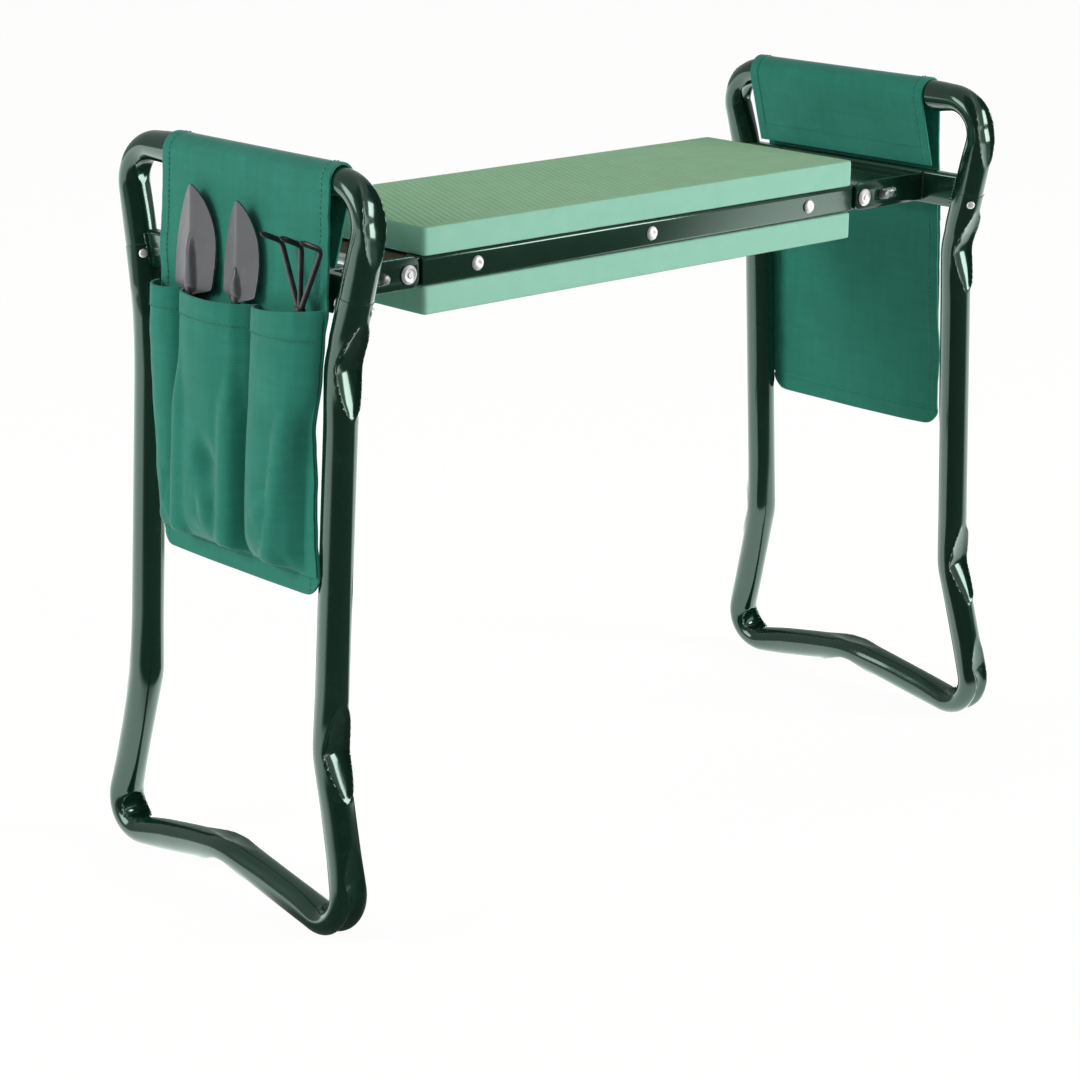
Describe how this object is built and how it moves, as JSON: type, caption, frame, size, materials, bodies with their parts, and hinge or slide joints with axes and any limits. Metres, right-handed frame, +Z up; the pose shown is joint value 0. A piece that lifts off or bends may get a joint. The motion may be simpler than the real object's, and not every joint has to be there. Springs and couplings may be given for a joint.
{
  "type": "garden kneeler seat",
  "caption": "Folding garden kneeler and seat: foam pad on steel rails, tube leg frames that fold under it, cloth pouches with small hand tools.",
  "frame": {"origin": "centre of the footprint on the floor, standing as a seat", "axes": "+X along the seat, towards the end with the empty pouch; +Z up out of the seat's face; +Y towards the back, which is the short way"},
  "size_m": [0.6381, 0.2578, 0.4846],
  "materials": {
    "green_paint": "gloss dark green powder coat",
    "bare_steel": "bright zinc",
    "spring_steel": "plain spring wire",
    "foam": "matt closed-cell foam, pale green, lightly embossed",
    "core_board": "plywood, hidden between the pads",
    "pouch_cloth": "plain-weave green polyester",
    "tool_steel": "satin grey-black coated steel",
    "black_plastic": "satin black moulding"
  },
  "bodies": {
    "seat": {"upper_foam_pad": "foam", "lower_foam_pad": "foam", "core_board": "core_board", "front_rail": "green_paint", "rear_rail": "green_paint", "front_left_rivet": "bare_steel", "front_middle_rivet": "bare_steel", "front_right_rivet": "bare_steel", "rear_left_rivet": "bare_steel", "rear_middle_rivet": "bare_steel", "rear_right_rivet": "bare_steel", "left_fold_axle": "bare_steel", "right_fold_axle": "bare_steel"},
    "left_legs": {"left_leg_loop": "green_paint", "left_hand_bar": "green_paint", "left_crossbar": "green_paint", "left_front_arm": "green_paint", "left_front_joint_rivet": "bare_steel", "left_front_spring_peg": "green_paint", "left_front_lock_spring": "spring_steel", "left_rear_arm": "green_paint", "left_rear_joint_rivet": "bare_steel", "left_rear_spring_peg": "green_paint", "left_rear_lock_spring": "spring_steel", "left_pouch_panel": "pouch_cloth", "left_narrow_pocket": "pouch_cloth", "left_wide_pocket": "pouch_cloth", "left_side_pocket": "pouch_cloth"},
    "left_lock": {"left_lock_rod": "bare_steel"},
    "right_legs": {"right_leg_loop": "green_paint", "right_hand_bar": "green_paint", "right_crossbar": "green_paint", "right_front_arm": "green_paint", "right_front_joint_rivet": "bare_steel", "right_front_spring_peg": "green_paint", "right_front_lock_spring": "spring_steel", "right_rear_arm": "green_paint", "right_rear_joint_rivet": "bare_steel", "right_rear_spring_peg": "green_paint", "right_rear_lock_spring": "spring_steel", "right_pouch_panel": "pouch_cloth", "right_narrow_pocket": "pouch_cloth", "right_wide_pocket": "pouch_cloth", "right_side_pocket": "pouch_cloth"},
    "right_lock": {"right_lock_rod": "bare_steel"},
    "trowel": {"trowel_blade": "tool_steel", "trowel_handle": "black_plastic"},
    "transplanter": {"transplanter_blade": "tool_steel", "transplanter_handle": "black_plastic"},
    "cultivator": {"cultivator_head": "tool_steel", "cultivator_handle": "black_plastic"}
  },
  "joints": [
    {"name": "left_fold", "type": "hinge", "parent": "seat", "child": "left_legs", "pos_m": [-0.2115, 0, 0.405], "axis": [0, -1, 0], "range_deg": [0, 88]},
    {"name": "right_fold", "type": "hinge", "parent": "seat", "child": "right_legs", "pos_m": [0.2115, 0, 0.405], "axis": [0, 1, 0], "range_deg": [0, 97]},
    {"name": "left_lock_pull", "type": "slide", "parent": "left_legs", "child": "left_lock", "axis": [-1, 0, 0], "range_m": [0, 0.009], "stiffness_N_per_m": 400, "springref_m": -0.012, "deforming": ["left_front_lock_spring", "left_rear_lock_spring"]},
    {"name": "right_lock_pull", "type": "slide", "parent": "right_legs", "child": "right_lock", "axis": [1, 0, 0], "range_m": [0, 0.009], "stiffness_N_per_m": 400, "springref_m": -0.012, "deforming": ["right_front_lock_spring", "right_rear_lock_spring"]},
    {"name": "trowel_lift", "type": "slide", "parent": "left_legs", "child": "trowel", "axis": [0.0546, 0, 0.9985], "range_m": [0, 0.24]},
    {"name": "transplanter_lift", "type": "slide", "parent": "left_legs", "child": "transplanter", "axis": [0.0546, 0, 0.9985], "range_m": [0, 0.24]},
    {"name": "cultivator_lift", "type": "slide", "parent": "left_legs", "child": "cultivator", "axis": [0.0543, -0.1147, 0.9919], "range_m": [0, 0.24]}
  ]
}
